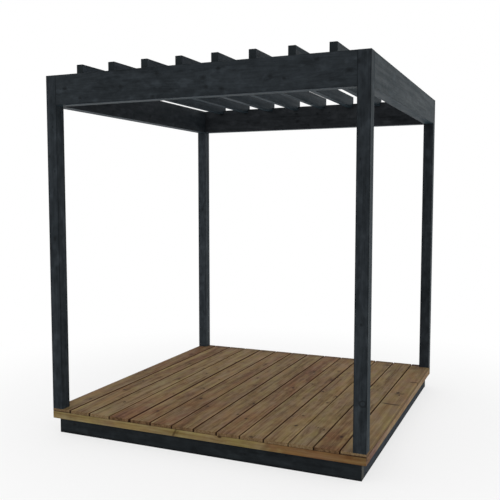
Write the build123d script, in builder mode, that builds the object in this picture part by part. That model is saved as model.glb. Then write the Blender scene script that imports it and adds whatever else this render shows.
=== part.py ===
"""Square timber pergola: a raised deck, four corner posts, a ring of beams and a roof of rafters.

Millimetres, +Z up, front towards -Y, origin on the ground under the middle of the deck.
"""
import os

from build123d import *

os.makedirs("parts", exist_ok=True)

# Plan of the frame over the outer faces of its posts
frame_width = 2000.0
frame_depth = 2050.0

# Arris taken off the sawn ends that show
end_chamfer = 1.0

# Base frame: timbers on edge on the ground, set in under the rim
base_inset = 30.0
base_thickness = 45.0
base_height = 97.0
base_edge_radius = 2.0

# Rim: flat timbers on the base that carry the ends of the deck boards
rim_height = 44.0
rim_edge_radius = 3.0

# Floor joists: timbers on edge between the left and right base timbers
joist_count = 3
joist_thickness = 45.0
joist_height = 95.0
joist_edge_radius = 2.0

# Deck boards: they run from front to rear, and the first one is ripped to fill the width
board_width = 138.0
board_thickness = 18.0
board_gap = 6.0
board_edge_radius = 3.0
narrowest_board_share = 0.3

# Posts
post_size = 72.0
post_length = 2054.0
post_edge_radius = 2.0

# Beams between the posts, as thick as the posts
beam_height = 180.0
beam_edge_radius = 2.0

# Rafters, let into housings in the inner side of the front and rear beams, their row set out
# a little to the right of the middle
rafter_thickness = 43.0
rafter_height = 84.0
rafter_pitch = 224.0
rafter_set_back = 30.0
rafter_shift = 12.0
rafter_edge_radius = 2.0
housing_depth = 28.0
housing_clearance = 0.5

# Levels, from the ground up
rim_bottom = base_height
rim_top = rim_bottom + rim_height
deck_top = rim_top + board_thickness
frame_top = deck_top + post_length
beam_middle = frame_top - beam_height / 2
rafter_bottom = frame_top - housing_depth
rafter_middle = rafter_bottom + rafter_height / 2

# Faces of the frame and of the base, in plan
right_face = frame_width / 2
left_face = -right_face
rear_face = frame_depth / 2
front_face = -rear_face
base_width = frame_width - 2 * base_inset
base_depth = frame_depth - 2 * base_inset
beam_thickness = post_size
rim_width = base_inset + base_thickness

# Base frame: the front and rear timbers run the whole width, and the side timbers fit between them
base_span = base_depth - 2 * base_thickness
base_across_y = base_depth / 2 - base_thickness / 2
base_along_x = base_width / 2 - base_thickness / 2

for name, y in (("front_base_beam", -base_across_y), ("rear_base_beam", base_across_y)):
    with BuildPart() as base_across:
        with BuildSketch(Plane((-base_width / 2, y, base_height / 2), x_dir=(0, 1, 0), z_dir=(1, 0, 0))):
            RectangleRounded(base_thickness, base_height, base_edge_radius)
        extrude(amount=base_width)
        chamfer(faces().filter_by(Axis.X).edges(), end_chamfer)
    base_across.part.label = name
    export_step(base_across.part, f"parts/{name}.step")

for name, x in (("left_base_beam", -base_along_x), ("right_base_beam", base_along_x)):
    with BuildPart() as base_along:
        with BuildSketch(Plane((x, -base_span / 2, base_height / 2), x_dir=(-1, 0, 0), z_dir=(0, 1, 0))):
            RectangleRounded(base_thickness, base_height, base_edge_radius)
        extrude(amount=base_span)
    base_along.part.label = name
    export_step(base_along.part, f"parts/{name}.step")

# Rim: laid flat on the base, overhanging it on the outside by the base's inset
rim_middle = rim_bottom + rim_height / 2
rim_span = frame_depth - 2 * rim_width
rim_across_y = rear_face - rim_width / 2
rim_along_x = right_face - rim_width / 2

for name, y in (("front_rim", -rim_across_y), ("rear_rim", rim_across_y)):
    with BuildPart() as rim_across:
        with BuildSketch(Plane((left_face, y, rim_middle), x_dir=(0, 1, 0), z_dir=(1, 0, 0))):
            RectangleRounded(rim_width, rim_height, rim_edge_radius)
        extrude(amount=frame_width)
        chamfer(faces().filter_by(Axis.X).edges(), end_chamfer)
    rim_across.part.label = name
    export_step(rim_across.part, f"parts/{name}.step")

for name, x in (("left_rim", -rim_along_x), ("right_rim", rim_along_x)):
    with BuildPart() as rim_along:
        with BuildSketch(Plane((x, -rim_span / 2, rim_middle), x_dir=(-1, 0, 0), z_dir=(0, 1, 0))):
            RectangleRounded(rim_width, rim_height, rim_edge_radius)
        extrude(amount=rim_span)
    rim_along.part.label = name
    export_step(rim_along.part, f"parts/{name}.step")

# Joists: evenly spaced between the front and rear base timbers, their tops level with the rim's
joist_span = base_width - 2 * base_thickness
joist_pitch = base_span / (joist_count + 1)
joist_middle = rim_top - joist_height / 2

for number in range(1, joist_count + 1):
    joist_y = number * joist_pitch - base_span / 2
    with BuildPart() as joist:
        with BuildSketch(Plane((-joist_span / 2, joist_y, joist_middle), x_dir=(0, 1, 0), z_dir=(1, 0, 0))):
            RectangleRounded(joist_thickness, joist_height, joist_edge_radius)
        extrude(amount=joist_span)
    joist.part.label = f"floor_joist_{number}"
    export_step(joist.part, f"parts/floor_joist_{number}.step")

# Deck boards: whole boards are laid from the right, and the strip left over is the first board
board_pitch = board_width + board_gap
narrowest_board = narrowest_board_share * board_width
whole_boards = int((frame_width - narrowest_board) // board_pitch)
first_board_width = frame_width - whole_boards * board_pitch
board_middle = rim_top + board_thickness / 2

for number in range(1, whole_boards + 2):
    if number == 1:
        width = first_board_width
        board_x = left_face + first_board_width / 2
    else:
        width = board_width
        board_x = right_face - board_width / 2 - (whole_boards + 1 - number) * board_pitch
    with BuildPart() as board:
        with BuildSketch(Plane((board_x, front_face, board_middle), x_dir=(-1, 0, 0), z_dir=(0, 1, 0))):
            RectangleRounded(width, board_thickness, board_edge_radius)
        extrude(amount=frame_depth)
        chamfer(faces().filter_by(Axis.Y).edges(), end_chamfer)
    board.part.label = f"deck_board_{number:02d}"
    export_step(board.part, f"parts/deck_board_{number:02d}.step")

# Posts: they stand on the deck at its corners and run up to the tops of the beams
post_x = right_face - post_size / 2
post_y = rear_face - post_size / 2

for depth_name, y in (("front", -post_y), ("rear", post_y)):
    for side_name, x in (("left", -post_x), ("right", post_x)):
        with BuildPart() as post:
            with BuildSketch(Plane((x, y, deck_top))):
                RectangleRounded(post_size, post_size, post_edge_radius)
            extrude(amount=post_length)
        post.part.label = f"{depth_name}_{side_name}_post"
        export_step(post.part, f"parts/{depth_name}_{side_name}_post.step")

# Front and rear beams: they fit between the posts and are housed for the rafters on their inner side
across_span = frame_width - 2 * post_size
along_span = frame_depth - 2 * post_size
rafter_count = int(across_span // rafter_pitch)
housing_width = rafter_thickness + 2 * housing_clearance
housing_front = rear_face - rafter_set_back + housing_clearance
housing_back = rear_face - beam_thickness
housing_length = housing_front - housing_back
housing_reach = housing_back + housing_length / 2

for name, side in (("front_beam", -1), ("rear_beam", 1)):
    with BuildPart() as beam_across:
        beam_start = (-across_span / 2, side * post_y, beam_middle)
        with BuildSketch(Plane(beam_start, x_dir=(0, 1, 0), z_dir=(1, 0, 0))):
            RectangleRounded(beam_thickness, beam_height, beam_edge_radius)
        extrude(amount=across_span)
        with BuildSketch(Plane((rafter_shift, side * housing_reach, rafter_bottom))):
            with GridLocations(rafter_pitch, 0, rafter_count, 1):
                Rectangle(housing_width, housing_length)
        extrude(amount=housing_depth, mode=Mode.SUBTRACT)
    beam_across.part.label = name
    export_step(beam_across.part, f"parts/{name}.step")

# Left and right beams: plain, between the posts
for name, x in (("left_beam", -post_x), ("right_beam", post_x)):
    with BuildPart() as beam_along:
        with BuildSketch(Plane((x, -along_span / 2, beam_middle), x_dir=(-1, 0, 0), z_dir=(0, 1, 0))):
            RectangleRounded(beam_thickness, beam_height, beam_edge_radius)
        extrude(amount=along_span)
    beam_along.part.label = name
    export_step(beam_along.part, f"parts/{name}.step")

# Rafters: on edge in their housings, standing proud of the beams
rafter_length = frame_depth - 2 * rafter_set_back
first_rafter_x = rafter_shift - (rafter_count - 1) * rafter_pitch / 2

for number in range(1, rafter_count + 1):
    rafter_x = first_rafter_x + (number - 1) * rafter_pitch
    with BuildPart() as rafter:
        rafter_start = (rafter_x, -rafter_length / 2, rafter_middle)
        with BuildSketch(Plane(rafter_start, x_dir=(-1, 0, 0), z_dir=(0, 1, 0))):
            RectangleRounded(rafter_thickness, rafter_height, rafter_edge_radius)
        extrude(amount=rafter_length)
        chamfer(faces().filter_by(Axis.Y).edges(), end_chamfer)
    rafter.part.label = f"rafter_{number}"
    export_step(rafter.part, f"parts/rafter_{number}.step")
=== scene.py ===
"""Looks of a square timber pergola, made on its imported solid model.

A frame of black-stained posts, beams and rafters stands on a deck of oiled softwood boards.
"""
import math
import random

import bmesh
import bpy
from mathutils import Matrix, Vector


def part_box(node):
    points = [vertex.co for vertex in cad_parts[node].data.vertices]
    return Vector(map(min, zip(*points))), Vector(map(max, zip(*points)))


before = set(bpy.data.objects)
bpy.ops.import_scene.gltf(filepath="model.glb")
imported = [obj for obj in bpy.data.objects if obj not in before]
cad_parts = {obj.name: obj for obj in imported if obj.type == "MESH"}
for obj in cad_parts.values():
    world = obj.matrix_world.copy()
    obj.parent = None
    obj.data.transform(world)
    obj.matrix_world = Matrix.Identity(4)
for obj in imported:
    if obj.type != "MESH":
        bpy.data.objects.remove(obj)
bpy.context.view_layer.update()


# Base frame: four softwood timbers on edge, screwed together at the corners, that carry the deck just
# clear of the ground. The front and rear ones run through, so their sawn ends show at the sides. All are
# stained black, and the sawn ends drink the stain unevenly and stay greyer.

def feed(tree, socket, value):
    """Gives a shader input a plain value, or links it to the socket that feeds it."""
    if isinstance(value, bpy.types.NodeSocket):
        tree.links.new(value, socket)
    else:
        socket.default_value = value


def shade(tree, kind, settings=None, **inputs):
    """Adds one shader node, with its settings and with inputs named by their labels."""
    made = tree.nodes.new("ShaderNode" + kind)
    for name, value in (settings or {}).items():
        setattr(made, name, value)
    for name, value in inputs.items():
        feed(tree, made.inputs[name.replace("_", " ")], value)
    return made


def maths(tree, operation, *values):
    """Adds one sum on numbers and gives its result."""
    made = tree.nodes.new("ShaderNodeMath")
    made.operation = operation
    for socket, value in zip(made.inputs, values):
        feed(tree, socket, value)
    return made.outputs[0]


def vectors(tree, operation, *values):
    """Adds one sum on vectors and gives its vector result, or its number for a length or a dot product."""
    made = tree.nodes.new("ShaderNodeVectorMath")
    made.operation = operation
    for socket, value in zip(made.inputs, values):
        feed(tree, socket, value)
    return made.outputs["Value" if operation in ("LENGTH", "DOT_PRODUCT") else "Vector"]


def bundle(tree, x, y, z=0.0):
    """Puts three numbers together as a vector."""
    return shade(tree, "CombineXYZ", None, X=x, Y=y, Z=z).outputs["Vector"]


def parts(tree, vector):
    """Takes a vector apart into its three numbers."""
    return shade(tree, "SeparateXYZ", None, Vector=vector).outputs


def ease(tree, value, start, stop, first=0.0, last=1.0):
    """Runs smoothly from first to last as the value goes from start to stop."""
    settings = {"interpolation_type": "SMOOTHSTEP"}
    made = shade(tree, "MapRange", settings, Value=value, From_Min=start, From_Max=stop)
    made.inputs["To Min"].default_value = first
    made.inputs["To Max"].default_value = last
    return made.outputs["Result"]


def tint(tree, share, under, over, mode="MIX"):
    """Lays one colour over another by a share, and gives the colour."""
    made = tree.nodes.new("ShaderNodeMix")
    made.data_type = "RGBA"
    made.blend_type = mode
    for name, value in (("Factor_Float", share), ("A_Color", under), ("B_Color", over)):
        socket = next(s for s in made.inputs if s.identifier == name)
        if isinstance(value, tuple):
            value = (*value, 1.0)
        feed(tree, socket, value)
    return next(s for s in made.outputs if s.identifier == "Result_Color")


def noise(tree, place, stretch, seed, detail=3.0, roughness=0.55):
    """Cloudy noise from 0 to 1, with its own stretch per metre along, across and through the timber."""
    scaled = vectors(tree, "MULTIPLY_ADD", place, stretch, (seed, seed * 0.7, seed * 1.3))
    made = shade(tree, "TexNoise", None, Vector=scaled, Scale=1.0, Detail=detail, Roughness=roughness)
    return made.outputs["Fac"]


def hold(tree, share):
    """Keeps a share from 0 to 1."""
    return maths(tree, "MAXIMUM", maths(tree, "MINIMUM", share, 1.0), 0.0)


def weigh(tree, start, *noises):
    """A share that starts at a middle value and moves with each noise by its weight, kept from 0 to 1."""
    share = start
    for value, weight in noises:
        share = maths(tree, "MULTIPLY_ADD", maths(tree, "SUBTRACT", value, 0.5), weight, share)
    return hold(tree, share)


def level(tree):
    """Height above the ground."""
    return parts(tree, shade(tree, "TexCoord").outputs["Object"])[2]


def knot_reach(tree, place, knot, grain_share):
    """How far a place lies from the middle of a knot, counted in the knot's radius.

    A share under 1 draws the knot out along the grain.
    """
    knot_along, knot_wide, knot_thin, radius = knot
    offset = vectors(tree, "SUBTRACT", place, (knot_along, knot_wide or 0.0, knot_thin or 0.0))
    keep = (grain_share, 0.0 if knot_wide is None else 1.0, 0.0 if knot_thin is None else 1.0)
    return vectors(tree, "LENGTH", vectors(tree, "MULTIPLY", offset, tuple(k / radius for k in keep)))


def softwood(tree, node, pith, seed, ring_gap, knot_every, knot_radius, knot_share, own_knots=()):
    """The figure of one sawn timber: rings about its pith, branch knots, streaks, fibres, edges and ends.

    Knots of its own are given by their place from the timber's middle: along it, across its wider and its
    narrower way, where None is the way that the knot runs through, and their radius.
    """
    low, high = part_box(node)
    size = high - low
    order = sorted(range(3), key=lambda axis: -size[axis])
    half = [size[axis] / 2 for axis in order]
    place = shade(tree, "TexCoord").outputs["Object"]
    place = vectors(tree, "SUBTRACT", place, (low + high) / 2)
    split = parts(tree, place)
    along, wide, thin = (split[axis] for axis in order)
    place = bundle(tree, along, wide, thin)

    pith_stray = 0.08
    wander = noise(tree, place, (0.9, 0.0, 0.0), seed, 1.0)
    sway = noise(tree, place, (0.7, 0.0, 0.0), seed + 9.0, 1.0)
    from_side = maths(tree, "SUBTRACT", wide, pith[0] + pith_stray / 2)
    from_face = maths(tree, "SUBTRACT", thin, pith[1] + pith_stray / 2)
    aside = maths(tree, "MULTIPLY_ADD", wander, pith_stray, from_side)
    deep = maths(tree, "MULTIPLY_ADD", sway, pith_stray, from_face)
    heart = bundle(tree, aside, deep)
    from_pith = vectors(tree, "LENGTH", heart)
    way = vectors(tree, "NORMALIZE", heart)

    shift = (seed * 3.1, seed * 1.7, seed * 2.3)
    rise = maths(tree, "DIVIDE", along, knot_every)
    cell = vectors(tree, "ADD", bundle(tree, rise, parts(tree, way)[0], parts(tree, way)[1]), shift)
    branches = shade(tree, "TexVoronoi", None, Vector=cell, Scale=1.0).outputs
    spot = parts(tree, vectors(tree, "SUBTRACT", branches["Position"], shift))
    branch = vectors(tree, "NORMALIZE", bundle(tree, spot[1], spot[2]))
    branch_stretch = 0.7
    step = maths(tree, "SUBTRACT", rise, spot[0])
    step = maths(tree, "MULTIPLY", step, knot_every * branch_stretch)
    turned = vectors(tree, "LENGTH", vectors(tree, "CROSS_PRODUCT", way, branch))
    beside = maths(tree, "MULTIPLY", turned, from_pith)
    chance = shade(tree, "SeparateColor", None, Color=branches["Color"]).outputs
    there = maths(tree, "LESS_THAN", chance["Green"], knot_share)
    same_side = maths(tree, "GREATER_THAN", vectors(tree, "DOT_PRODUCT", way, branch), 0.0)
    there = maths(tree, "MULTIPLY", there, same_side)
    radius = ease(tree, chance["Red"], 0.0, 1.0, 0.5 * knot_radius, 1.2 * knot_radius)
    reach = maths(tree, "DIVIDE", vectors(tree, "LENGTH", bundle(tree, step, beside)), radius)
    far_off = 99.0
    reach = maths(tree, "ADD", reach, ease(tree, there, 0.0, 1.0, far_off, 0.0))
    own_stretch = 0.6
    for knot in own_knots:
        reach = maths(tree, "MINIMUM", reach, knot_reach(tree, place, knot, own_stretch))
    wobble = noise(tree, place, (60.0, 60.0, 60.0), seed + 5.0, 2.0)
    reach = maths(tree, "MULTIPLY", reach, ease(tree, wobble, 0.2, 0.8, 0.75, 1.25))
    halo = ease(tree, reach, 5.0, 0.7)

    ripple_depth = 0.006
    swell_at_knot = 0.010
    ripple = noise(tree, place, (4.0, 30.0, 30.0), seed + 2.0, 3.0)
    ring = maths(tree, "MULTIPLY_ADD", ripple, ripple_depth, from_pith)
    ring = maths(tree, "MULTIPLY_ADD", halo, swell_at_knot, ring)
    year = maths(tree, "FRACT", maths(tree, "DIVIDE", ring, ring_gap))
    to_side = maths(tree, "SUBTRACT", half[1], maths(tree, "ABSOLUTE", wide))
    to_face = maths(tree, "SUBTRACT", half[2], maths(tree, "ABSOLUTE", thin))
    to_end = maths(tree, "SUBTRACT", half[0], maths(tree, "ABSOLUTE", along))
    return {
        "place": place,
        "along": along,
        "ring": ring,
        "late": maths(tree, "MULTIPLY", ease(tree, year, 0.25, 0.85), ease(tree, year, 1.0, 0.88)),
        "knot": ease(tree, reach, 1.1, 0.75),
        "halo": halo,
        "reach": reach,
        "band": noise(tree, bundle(tree, along, ring, thin), (1.3, 60.0, 3.0), seed + 1.0, 4.0, 0.6),
        "streak": noise(tree, place, (2.2, 34.0, 34.0), seed + 7.0, 4.0, 0.6),
        "grain": noise(tree, place, (3.0, 120.0, 120.0), seed + 10.0, 2.0),
        "mottle": noise(tree, place, (14.0, 27.0, 27.0), seed + 8.0, 3.0, 0.6),
        "cloud": noise(tree, place, (1.6, 6.0, 6.0), seed + 3.0, 3.0),
        "fibre": noise(tree, place, (16.0, 700.0, 700.0), seed + 4.0, 2.0),
        "to_edge": maths(tree, "MAXIMUM", to_side, to_face),
        "to_end": to_end,
        "sawn": ease(tree, to_end, 0.0009, 0.0004),
    }


def finish_timber(tree, figure, colour, roughness, gloss, relief):
    """Joins a colour to the shader, with a gloss, and a relief that follows the grain."""
    height = maths(tree, "MULTIPLY", figure["fibre"], 0.5)
    height = maths(tree, "MULTIPLY_ADD", figure["late"], 0.6, height)
    height = maths(tree, "MULTIPLY_ADD", figure["knot"], -0.4, height)
    bump = shade(tree, "Bump", None, Strength=0.5, Distance=relief, Height=height)
    shader = tree.nodes["Principled BSDF"]
    shader.inputs["Specular IOR Level"].default_value = gloss
    feed(tree, shader.inputs["Base Color"], colour)
    feed(tree, shader.inputs["Roughness"], roughness)
    feed(tree, shader.inputs["Normal"], bump.outputs["Normal"])
    return shader


def timber(node, words):
    """A new material for one timber, put on its solid, and the material's node tree."""
    material = bpy.data.materials.new(f"{node}_{words}")
    material.use_nodes = True
    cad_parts[node].data.materials.clear()
    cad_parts[node].data.materials.append(material)
    return material.node_tree


def black_stain(node, pith, seed, stain, knot_every, knot_radius, knot_share, own_knots=()):
    """Softwood under a thin black stain that lets the figure through, with a cold bloom on its fibres, a
    painted highlight on its underside and, on the base, painted shade at its foot.
    """
    tree = timber(node, "black_stain")
    ring_gap = 0.0045
    figure = softwood(tree, node, pith, seed, ring_gap, knot_every, knot_radius, knot_share, own_knots)
    smudge_stain = tuple(0.5 * c for c in stain["dark"])
    late_sawn = tuple(0.6 * c for c in stain["sawn"])
    share = weigh(
        tree, 0.36, (figure["mottle"], 1.1), (figure["band"], 0.45), (figure["streak"], 0.45),
        (figure["grain"], 0.35), (figure["cloud"], 0.4),
    )
    share = maths(tree, "MULTIPLY_ADD", figure["late"], -0.10, share)
    pale = noise(tree, figure["place"], (11.0, 20.0, 20.0), seed + 12.0, 2.0)
    share = maths(tree, "MULTIPLY_ADD", ease(tree, pale, 0.52, 0.72), 0.35, share)
    share = maths(tree, "MULTIPLY_ADD", ease(tree, figure["to_edge"], 0.006, 0.001), -0.35, share)
    colour = tint(tree, hold(tree, share), stain["dark"], stain["light"])

    smudge = ease(tree, figure["reach"], 2.2, 0.2, 0.0, 0.75)
    colour = tint(tree, smudge, colour, smudge_stain)
    for knot in stain.get("bark_rings", ()):
        round_knot = knot_reach(tree, figure["place"], knot, 1.0)
        round_knot = maths(tree, "MULTIPLY", round_knot, ease(tree, figure["mottle"], 0.3, 0.7, 0.85, 1.15))
        from_bark = maths(tree, "ABSOLUTE", maths(tree, "SUBTRACT", round_knot, 1.0))
        bark = ease(tree, from_bark, 0.40, 0.12, 0.0, 0.65)
        colour = tint(tree, bark, colour, smudge_stain)
    end = tint(tree, figure["late"], stain["sawn"], late_sawn)
    colour = tint(tree, figure["sawn"], colour, end)

    height = level(tree)
    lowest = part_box(node)[0].z
    # Painted highlight: the lowest 2 mm, the underside, is lightened and made colder to stand for the white
    # floor reflected at a grazing angle.
    if "under" in stain:
        under = ease(tree, height, lowest + 0.0020, lowest + 0.0008)
        colour = tint(tree, under, colour, stain["under"], "MULTIPLY")
    # Painted contact shade: the lowest 20 mm is darkened where the timber meets the ground.
    if "base_foot_shade" in stain:
        base_foot_shade_rise = 0.020
        base_foot_shade = ease(tree, height, lowest + base_foot_shade_rise, lowest + 0.1 * base_foot_shade_rise)
        colour = tint(tree, base_foot_shade, colour, stain["base_foot_shade"], "MULTIPLY")

    rough_spread = 0.06
    dull, shiny = stain["rough"] + rough_spread, stain["rough"] - rough_spread
    roughness = ease(tree, figure["streak"], 0.3, 0.7, dull, shiny)
    shader = finish_timber(tree, figure, colour, roughness, gloss=0.10, relief=0.0006)
    cold_bloom = (0.30, 0.80, 1.0, 1.0)
    shader.inputs["Sheen Weight"].default_value = stain["bloom"]
    shader.inputs["Sheen Roughness"].default_value = 0.45
    shader.inputs["Sheen Tint"].default_value = cold_bloom


def toned(stain, tone):
    """The same stain on a timber that takes it lighter or darker, warmer or colder."""
    made = dict(stain)
    for part in ("dark", "light"):
        made[part] = tuple(t * c for t, c in zip(tone, stain[part]))
    return made


grain_draw = random.Random(11)


def log_cut(aside, near, far):
    """Where a timber was cut from its log: the place of the pith from its middle, and its own seed."""
    pith_aside = grain_draw.uniform(-aside, aside)
    side = grain_draw.choice((-1, 1))
    pith_deep = side * grain_draw.uniform(near, far)
    return (pith_aside, pith_deep), grain_draw.uniform(0.0, 40.0)


plain = (1.0, 1.0, 1.0)
# The base carries painted contact shade along its foot.
base_stain = {
    "dark": (0.0054, 0.0072, 0.0086), "light": (0.0205, 0.0256, 0.0295), "sawn": (0.066, 0.064, 0.054),
    "rough": 0.70, "bloom": 0.020, "base_foot_shade": (0.40, 0.40, 0.42),
}
base_tone = {"right_base_beam": (1.05, 1.20, 1.50)}
for node in ("front_base_beam", "rear_base_beam", "left_base_beam", "right_base_beam"):
    pith, seed = log_cut(0.03, 0.04, 0.07)
    stain = toned(base_stain, base_tone.get(node, plain))
    black_stain(node, pith, seed, stain, knot_every=0.25, knot_radius=0.007, knot_share=0.4)


# Floor joists: three plain timbers on edge between the side timbers of the base, nailed through them. They
# are pressure-treated softwood, left bare, and show only from below and through the gaps of the deck.

sapwood_tone = (1.22, 1.24, 1.10)
warm_tone = (0.95, 0.74, 0.68)
olive_tone = (0.95, 1.02, 0.90)
rosy_tone = (1.04, 0.965, 0.97)
straw_tone = (1.01, 1.0, 0.84)
ash_tone = (0.98, 0.98, 1.08)
dry_end_tone = (1.22, 1.22, 1.22)
soaked_end_tone = (0.70, 0.58, 0.55)
# The lift for the painted highlight beside the deck gaps.
gap_edge_highlight_tone = (1.22, 1.24, 1.22)


def scarred(tree, figure, share, scars):
    """Adds dark lines across the grain to a share of dark wood.

    A scar has a place along the timber, the way that it runs (1 across the wider way, 2 across the narrower
    one), its middle and half length that way, lean, bend, half width and depth.
    """
    for scar_along, way, middle, half_length, slant, bend, half_width, depth in scars:
        across = maths(tree, "SUBTRACT", parts(tree, figure["place"])[way], middle)
        turn = maths(tree, "MULTIPLY_ADD", across, bend, slant)
        bow = maths(tree, "MULTIPLY_ADD", across, turn, scar_along)
        aside = maths(tree, "ABSOLUTE", maths(tree, "SUBTRACT", figure["along"], bow))
        line = ease(tree, aside, half_width, 0.2 * half_width, 0.0, depth)
        fade = ease(tree, maths(tree, "ABSOLUTE", across), half_length, 0.5 * half_length)
        share = maths(tree, "MAXIMUM", share, maths(tree, "MULTIPLY", line, fade))
    return share


def oiled_end(tree, figure, finish, lean):
    """The colour of a sawn end, which drinks the oil in stripes, and more where the timber is red."""
    end = tint(tree, figure["late"], finish["pale"], finish["dark"])
    end = tint(tree, ease(tree, figure["grain"], 0.35, 0.65, 0.0, 0.65), end, finish["dark"])
    stripe = ease(tree, figure["streak"], 0.46, 0.62)
    stripe = maths(tree, "MULTIPLY", stripe, maths(tree, "MULTIPLY_ADD", lean, 0.68, 0.14))
    end = tint(tree, stripe, end, tuple(0.45 * c for c in finish["dark"]))
    end = tint(tree, 1.0, end, dry_end_tone, "MULTIPLY")
    return tint(tree, lean, end, finish.get("red_end", soaked_end_tone), "MULTIPLY")


def painted_gap_light_and_shade(tree, figure, colour, finish, half_long, half_wide):
    """Lays painted light and shade on a board: a painted highlight beside its gaps, painted shade in them
    and low on its sawn ends, and a darker rear band, on the last board a painted shadow of the rear right
    post.
    """
    gap_edge_highlight_reach = 0.016
    rear_reach = 0.080
    rear_full = 0.035
    shade_share = 0.0
    gap_edge_highlight = 0.0
    wide, up = parts(tree, figure["place"])[1:]
    # Painted shade: the board darkens towards each gap, to stand for the shade between the boards.
    for side, (shade_reach, shade_depth) in zip((-1.0, 1.0), finish["gaps"]):
        to_gap = maths(tree, "MULTIPLY_ADD", wide, -side, half_wide)
        beside_gap = ease(tree, to_gap, shade_reach, 0.3 * shade_reach, 0.0, shade_depth)
        shade_share = maths(tree, "MAXIMUM", shade_share, beside_gap)
        gap_edge_highlight = maths(tree, "MAXIMUM", gap_edge_highlight, ease(tree, to_gap, gap_edge_highlight_reach, 0.5 * gap_edge_highlight_reach))
    # Painted highlight: the board is lightened near each gap, where its rounded edge catches the light.
    colour = tint(tree, maths(tree, "MULTIPLY", gap_edge_highlight, 0.6), colour, gap_edge_highlight_tone, "MULTIPLY")
    # The painted shade is darker lower down in the gap.
    below = ease(tree, up, 0.007, 0.003)
    shade_colour = tint(tree, below, finish["shade_colour"], tuple(0.5 * c for c in finish["shade_colour"]))
    # A darker band along the rear end; on the last board it is a painted shadow of the rear right post.
    to_rear = maths(tree, "SUBTRACT", half_long, figure["along"])
    shade_share = maths(tree, "MAXIMUM", shade_share, ease(tree, to_rear, rear_reach, rear_full, 0.0, finish["rear"]))
    # Painted shade: the lower part of the sawn end darkens, a shadow line where the board end meets the
    # rim.
    end_foot_shade = ease(tree, up, 0.000, -0.006, 0.0, finish["end_foot_shade"])
    shade_share = maths(tree, "MAXIMUM", shade_share, maths(tree, "MULTIPLY", end_foot_shade, figure["sawn"]))
    return tint(tree, shade_share, colour, shade_colour)


def oiled(
    node, words, pith, seed, finish, ring_gap, knot_every, knot_radius, knot_share, own_knots=(), scars=(),
):
    """Softwood under oil: brown streaks, red patches, pale sapwood, dark knots and soaked ends."""
    tree = timber(node, words)
    figure = softwood(tree, node, pith, seed, ring_gap, knot_every, knot_radius, knot_share, own_knots)
    low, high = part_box(node)
    half_long = max(high - low) / 2
    near_red, far_red = finish["red"]
    red_from, red_to = finish.get("red_run", (-half_long, half_long))
    lean = ease(tree, figure["along"], red_from, red_to, near_red, far_red)

    strength = finish["strength"]
    share = weigh(
        tree, 0.36, (figure["band"], 2.0 * strength), (figure["streak"], 1.7 * strength),
        (figure["grain"], 1.3 * strength), (figure["mottle"], 1.2 * strength), (figure["cloud"], 0.8),
    )
    share = maths(tree, "MULTIPLY_ADD", figure["late"], 0.15, share)
    share = maths(tree, "MULTIPLY_ADD", figure["halo"], 0.25, share)
    soaked = ease(tree, figure["grain"], 0.42, 0.60)
    soaked = maths(tree, "MULTIPLY", soaked, ease(tree, figure["to_end"], 0.06, 0.0))
    soaked = maths(tree, "MULTIPLY", soaked, maths(tree, "MULTIPLY_ADD", lean, 0.38, 0.02))
    share = hold(tree, maths(tree, "ADD", share, soaked))
    colour = tint(tree, share, finish["pale"], finish["dark"])

    sap = ease(tree, figure["ring"], finish["sap"], finish["sap"] + 0.012)
    colour = tint(tree, maths(tree, "MULTIPLY", sap, 0.7), colour, sapwood_tone, "MULTIPLY")
    hue = noise(tree, figure["place"], (5.0, 15.0, 15.0), seed + 6.0, 4.0, 0.6)
    red = maths(tree, "MULTIPLY", lean, ease(tree, hue, 0.30, 0.62, 0.2, 1.4))
    colour = tint(tree, red, colour, finish.get("red_tone", warm_tone), "MULTIPLY")
    not_red = maths(tree, "SUBTRACT", 1.0, lean)
    olive = maths(tree, "MULTIPLY", not_red, ease(tree, hue, 0.52, 0.30, 0.0, 0.9))
    colour = tint(tree, olive, colour, olive_tone, "MULTIPLY")
    colour = tint(tree, ease(tree, hue, 0.48, 0.68), colour, rosy_tone, "MULTIPLY")
    straw = noise(tree, figure["place"], (6.0, 18.0, 18.0), seed + 14.0, 3.0)
    colour = tint(tree, ease(tree, straw, 0.40, 0.66), colour, straw_tone, "MULTIPLY")
    colour = tint(tree, ease(tree, straw, 0.50, 0.30), colour, ash_tone, "MULTIPLY")

    knot = maths(tree, "MULTIPLY", figure["knot"], ease(tree, figure["reach"], 1.0, 0.2, 0.7, 0.95))
    colour = tint(tree, scarred(tree, figure, knot, scars), colour, finish["knot"])
    colour = tint(tree, figure["sawn"], colour, oiled_end(tree, figure, finish, lean))
    if "shade_colour" in finish:
        colour = painted_gap_light_and_shade(tree, figure, colour, finish, half_long, (high.x - low.x) / 2)
    # Painted shade: the top 2 mm, where the boards sit on the rim, is darkened to stand for the shadow in
    # that joint.
    if "top_joint_shade" in finish:
        top = ease(tree, level(tree), high.z - 0.0020, high.z - 0.0008, 0.0, 0.95)
        colour = tint(tree, top, colour, finish["top_joint_shade"])
    roughness = ease(tree, share, 0.0, 1.0, 0.78, 0.68)
    finish_timber(tree, figure, colour, roughness, gloss=0.06, relief=0.0008)


joist_finish = {
    "pale": (0.20, 0.15, 0.085), "dark": (0.10, 0.070, 0.038), "knot": (0.05, 0.03, 0.016),
    "red": (0.1, 0.2), "sap": 0.1, "strength": 0.8,
}
for number in range(1, 4):
    pith, seed = log_cut(0.03, 0.04, 0.07)
    oiled(
        f"floor_joist_{number}", "treated", pith, seed, joist_finish,
        ring_gap=0.0045, knot_every=0.5, knot_radius=0.011, knot_share=0.6,
    )


# Rim: four flat timbers laid on the base, which they overhang, and screwed down to it. They carry the ends
# of the boards. They are oiled softwood, a shade yellower than the boards, because no one walks on them.

rim_pale = (0.275, 0.221, 0.106)
rim_dark = (0.150, 0.096, 0.043)
rim_knot = (0.040, 0.021, 0.010)
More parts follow.
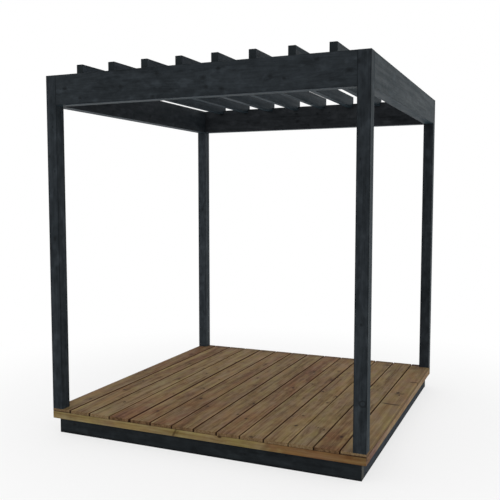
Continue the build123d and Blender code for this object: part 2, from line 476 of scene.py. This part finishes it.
# The colour of the painted shade in the joint under the boards.
rim_joint_shade_colour = (0.010, 0.006, 0.004)
rim_red = {
    "front_rim": (0.0, 1.0), "rear_rim": (0.2, 0.4), "left_rim": (0.3, 0.3), "right_rim": (1.0, 0.1),
}
rim_red_run = {"front_rim": (0.40, 0.50), "right_rim": (-0.95, -0.40)}
rim_warm_tone = (0.95, 0.78, 0.82)
rim_red_tone = {"front_rim": (0.72, 0.54, 0.52), "right_rim": (0.64, 0.54, 0.66)}
rim_red_end = (0.78, 0.60, 0.66)
# Painted reflection: the right rim is lightened, most in blue, to stand for the grazing reflection on its
# right face.
rim_sheen_lift = {"right_rim": (1.20, 1.10, 1.36)}
rim_knots = {"front_rim": ((0.160, None, 0.016, 0.008),)}
rim_scars = {
    "front_rim": (
        (-0.130, 2, 0.0, 0.028, 0.55, 0.0, 0.012, 0.65), (-0.110, 2, 0.006, 0.018, 0.55, 0.0, 0.012, 0.30),
        (0.440, 2, 0.0, 0.032, 0.8, 0.0, 0.028, 0.28),
    ),
}
for node, red in rim_red.items():
    pith, seed = log_cut(0.02, 0.05, 0.09)
    depth = rim_sheen_lift.get(node, plain)
    rim_finish = {
        "pale": tuple(d * c for d, c in zip(depth, rim_pale)),
        "dark": tuple(d * c for d, c in zip(depth, rim_dark)),
        "knot": rim_knot,
        "red": red,
        "red_tone": rim_red_tone.get(node, rim_warm_tone),
        "sap": 0.2,
        "strength": 0.9,
        "top_joint_shade": rim_joint_shade_colour,
        "red_end": rim_red_end,
    }
    if node in rim_red_run:
        rim_finish["red_run"] = rim_red_run[node]
    oiled(
        node, "rim_oil", pith, seed, rim_finish,
        ring_gap=0.0050, knot_every=0.40, knot_radius=0.009, knot_share=0.4,
        own_knots=rim_knots.get(node, ()), scars=rim_scars.get(node, ()),
    )


# Deck boards: softwood boards with rounded edges, laid from front to rear with a finger's gap and screwed
# from below. They are oiled brown, with paler sapwood and reddish patches. Painted shade darkens them
# down in the gaps and at the foot of some sawn ends, a painted highlight lightens them beside the gaps, and
# a darker band runs along their rear ends, which on the last board is a painted shadow of the rear right
# post.

board_pale = (0.218, 0.160, 0.088)
board_dark = (0.094, 0.054, 0.024)
board_knot = (0.028, 0.015, 0.009)
# The colour of the painted shade in the gaps.
gap_shade_colour = (0.045, 0.017, 0.008)
board_red = (
    (0.2, 0.8), (0.3, 0.5), (0.0, 0.2), (0.9, 0.1), (0.85, 0.2), (0.75, 0.5), (0.65, 0.3),
    (0.3, 0.3), (0.5, 0.9), (0.3, 0.3), (0.2, 0.3), (0.0, 0.3), (0.85, 0.1), (0.0, 0.3),
)
board_red_tone = (0.83, 0.65, 0.65)
front_red_run = (-1.025, -0.200)
board_depth = (1.02, 1.06, 1.06, 1.07, 1.04, 1.03, 0.98, 0.99, 1.04, 1.02, 1.02, 0.99, 1.00, 1.06)
board_knots = {
    1: ((-0.770, 0.030, None, 0.008),),
    2: ((0.332, 0.035, None, 0.010), (-0.250, -0.030, None, 0.007)),
    3: ((-0.105, 0.040, None, 0.010), (-0.736, -0.010, None, 0.008)),
    5: ((-0.248, 0.030, None, 0.008), (-0.816, 0.000, None, 0.009)),
    6: ((-0.475, -0.020, None, 0.012),),
    7: ((-0.611, -0.045, None, 0.009), (-0.032, 0.040, None, 0.007)),
    8: ((-0.441, 0.055, None, 0.010),),
    9: ((0.480, 0.015, None, 0.011), (-0.736, -0.015, None, 0.009)),
    10: ((0.309, 0.060, None, 0.010),),
    11: ((-0.736, 0.015, None, 0.010), (-0.077, 0.065, None, 0.008)),
    12: ((-0.743, 0.042, None, 0.008),),
    13: ((-0.816, 0.022, None, 0.012),),
    14: ((0.173, -0.010, None, 0.012), (0.120, 0.010, None, 0.007)),
}
board_scars = {
    14: (
        (-0.105, 1, 0.000, 0.070, -0.10, 2.0, 0.017, 0.85),
        (0.480, 1, 0.045, 0.040, 0.0, -3.0, 0.017, 0.75),
        (0.150, 1, 0.005, 0.040, 0.30, 0.0, 0.020, 0.60),
        (0.900, 1, -0.040, 0.045, 0.0, 0.0, 0.080, 0.40),
    ),
}
board_strength = {14: 0.55}
gap_shade_depths = (
    (0.0068, 0.92), (0.0055, 0.90), (0.0040, 0.72), (0.0105, 0.95), (0.0048, 0.85), (0.0046, 0.82),
    (0.0052, 0.90), (0.0050, 0.88), (0.0034, 0.68), (0.0046, 0.78), (0.0025, 0.45), (0.0038, 0.76),
    (0.0040, 0.78),
)
left_side = (0.0070, 0.75)
right_side = (0.0030, 0.30)
# Painted shade at the foot of the sawn ends of the first and last boards.
end_foot_shade_share = {1: 0.60, 14: 0.85}
# Strength of the darker rear band per board; the last board's full band is a painted shadow of the rear
# right post.
rear_darkening = (0.40, 0.60, 0.60, 0.20, 0.25, 0.35, 0.40, 0.35, 0.45, 0.45, 0.40, 0.50, 0.25, 1.0)
deck_boards = sorted(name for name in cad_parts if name.startswith("deck_board_"))
for number, node in enumerate(deck_boards, 1):
    pith, seed = log_cut(0.05, 0.03, 0.08)
    depth = board_depth[(number - 1) % len(board_depth)]
    board_finish = {
        "pale": tuple(depth * c for c in board_pale),
        "dark": tuple(depth * c for c in board_dark),
        "knot": board_knot,
        "red": board_red[(number - 1) % len(board_red)],
        "red_tone": board_red_tone,
        "sap": grain_draw.uniform(0.08, 0.16),
        "strength": board_strength.get(number, 1.1),
        "shade_colour": gap_shade_colour,
        "gaps": (left_side, *gap_shade_depths, right_side)[number - 1:number + 1],
        "end_foot_shade": end_foot_shade_share.get(number, 0.0),
        "rear": rear_darkening[(number - 1) % len(rear_darkening)],
    }
    if board_finish["red"][0] > board_finish["red"][1]:
        board_finish["red_run"] = front_red_run
    oiled(
        node, "deck_oil", pith, seed, board_finish,
        ring_gap=0.0050, knot_every=0.42, knot_radius=0.008, knot_share=0.25,
        own_knots=board_knots.get(number, ()), scars=board_scars.get(number, ()),
    )


# Posts: four square softwood posts that stand on the corners of the deck, held by hidden dowels. They are
# sawn around the heart, so their faces show straight grain with knots, and stained black. The front right
# one has a dead knot in a ring of bark.

# The "under" colour is a painted highlight that lightens the undersides.
frame_stain = {
    "dark": (0.0074, 0.0100, 0.0124), "light": (0.0340, 0.0418, 0.0492), "sawn": (0.0128, 0.0178, 0.0208),
    "rough": 0.58, "bloom": 0.035, "under": (1.60, 1.75, 1.90),
}
post_depth = {
    "front_left_post": 1.08, "front_right_post": 1.04, "rear_left_post": 1.70, "rear_right_post": 0.92,
}
post_rings = {"front_right_post": ((-0.762, 0.014, None, 0.016),)}
for node, depth in post_depth.items():
    pith = (grain_draw.uniform(-0.02, 0.02), grain_draw.uniform(-0.02, 0.02))
    seed = grain_draw.uniform(0.0, 40.0)
    post_stain = dict(frame_stain, rough=0.63, bloom=0.030, bark_rings=post_rings.get(node, ()))
    post_stain = toned(post_stain, (depth, depth, depth))
    black_stain(node, pith, seed, post_stain, knot_every=0.30, knot_radius=0.007, knot_share=0.25)


# Beams: four deep softwood timbers that fit between the tops of the posts, screwed through the posts into
# their ends. The front and rear ones are housed for the rafters. They are stained as the posts are.

beam_knots = {
    "front_beam": (
        (-0.860, 0.005, None, 0.007), (-0.753, -0.055, None, 0.006), (-0.467, -0.008, None, 0.007),
        (-0.253, -0.075, None, 0.006), (-0.227, 0.052, None, 0.007), (0.067, 0.009, None, 0.008),
        (0.160, 0.052, None, 0.006), (0.180, -0.057, None, 0.007), (0.460, -0.008, None, 0.008),
        (0.540, -0.025, None, 0.005), (0.720, 0.059, None, 0.006), (0.887, -0.008, None, 0.008),
    ),
}
beam_tone = {"rear_beam": (1.12, 1.01, 0.98), "left_beam": (0.99, 0.89, 0.90)}
for node in ("front_beam", "rear_beam", "left_beam", "right_beam"):
    pith, seed = log_cut(0.05, 0.06, 0.10)
    stain = toned(frame_stain, beam_tone.get(node, plain))
    black_stain(
        node, pith, seed, stain, knot_every=0.22, knot_radius=0.007, knot_share=0.25,
        own_knots=beam_knots.get(node, ()),
    )


# Rafters: eight planed softwood timbers on edge, dropped into the housings of the front and rear beams and
# screwed from above. They stand proud of the beams. Planed sides take the black stain a little deeper.

rafter_tone = (0.72, 0.78, 0.86)
# The rafters' undersides carry a stronger painted highlight.
rafter_underside_highlight = (2.20, 2.24, 2.22)
rafter_stain = dict(toned(frame_stain, rafter_tone), under=rafter_underside_highlight)
rafters = sorted(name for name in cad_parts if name.startswith("rafter_"))
for node in rafters:
    pith, seed = log_cut(0.02, 0.03, 0.06)
    black_stain(node, pith, seed, rafter_stain, knot_every=0.25, knot_radius=0.007, knot_share=0.4)


# Studio floor: a wide pale sheet that keeps a faint shadow under the deck. Its colour to the eye is white,
# and to the pergola it is a pale sheet that throws light back up.

floor_reach = 60.0
floor_mesh = bpy.data.meshes.new("studio_floor")
sheet = bmesh.new()
bmesh.ops.create_grid(sheet, x_segments=1, y_segments=1, size=floor_reach)
sheet.to_mesh(floor_mesh)
sheet.free()
floor = bpy.data.objects.new("studio_floor", floor_mesh)
bpy.context.scene.collection.objects.link(floor)

floor_paint = bpy.data.materials.new("studio_floor_paint")
floor_paint.use_nodes = True
tree = floor_paint.node_tree
paper = tree.nodes["Principled BSDF"]
floor_grey = (0.80, 0.80, 0.80, 1.0)
paper.inputs["Base Color"].default_value = floor_grey
paper.inputs["Roughness"].default_value = 0.9
paper.inputs["Specular IOR Level"].default_value = 0.0
glow = shade(tree, "Emission", None, Color=(1.0, 1.0, 1.0, 1.0), Strength=1.0)
ray = shade(tree, "LightPath").outputs
seen = maths(tree, "MAXIMUM", ray["Is Camera Ray"], ray["Is Glossy Ray"])
seen = maths(tree, "MAXIMUM", seen, ray["Is Transmission Ray"])
spot = shade(tree, "TexCoord").outputs["Object"]
shadow_full = 1.2
shadow_gone = 3.2
white_in_shadow = 0.7
from_middle = vectors(tree, "LENGTH", spot)
white = ease(tree, from_middle, shadow_full, shadow_gone, white_in_shadow, 1.0)
base_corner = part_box("rear_base_beam")[1]
past_side = maths(tree, "SUBTRACT", maths(tree, "ABSOLUTE", parts(tree, spot)[0]), base_corner.x)
past_end = maths(tree, "SUBTRACT", maths(tree, "ABSOLUTE", parts(tree, spot)[1]), base_corner.y)
past_base = maths(tree, "MAXIMUM", past_side, past_end)
outside = ease(tree, past_base, -0.040, -0.005)
white = maths(tree, "MULTIPLY", white, outside)
whiten = shade(tree, "MixShader", None, Fac=maths(tree, "MULTIPLY", seen, white))
tree.links.new(paper.outputs["BSDF"], whiten.inputs[1])
tree.links.new(glow.outputs["Emission"], whiten.inputs[2])
tree.links.new(whiten.outputs["Shader"], tree.nodes["Material Output"].inputs["Surface"])
floor.data.materials.append(floor_paint)


# Studio light: an even white surround that lights the pergola from every side, at the level at which a
# colour shows as it is written.

world = bpy.data.worlds.new("studio_surround")
bpy.context.scene.world = world
world.use_nodes = True
surround = world.node_tree.nodes["Background"]
surround.inputs["Color"].default_value = (1.0, 1.0, 1.0, 1.0)
surround.inputs["Strength"].default_value = 1.0


# Camera: a 50 mm lens at eye height, in front of the right-hand corner and turned to the middle of the
# deck, so that the front and the right side show.

camera_data = bpy.data.cameras.new("front_right_camera")
camera_data.sensor_width = 36.0
camera_data.lens = 50.0
camera = bpy.data.objects.new("front_right_camera", camera_data)
camera_place = (1.8322, -4.4592, 1.4868)
camera_tilt = math.radians(85.566)
camera_turn = math.radians(23.377)
camera.location = camera_place
camera.rotation_euler = (camera_tilt, 0.0, camera_turn)
bpy.context.scene.collection.objects.link(camera)
bpy.context.scene.camera = camera
bpy.context.scene.view_settings.view_transform = "Standard"
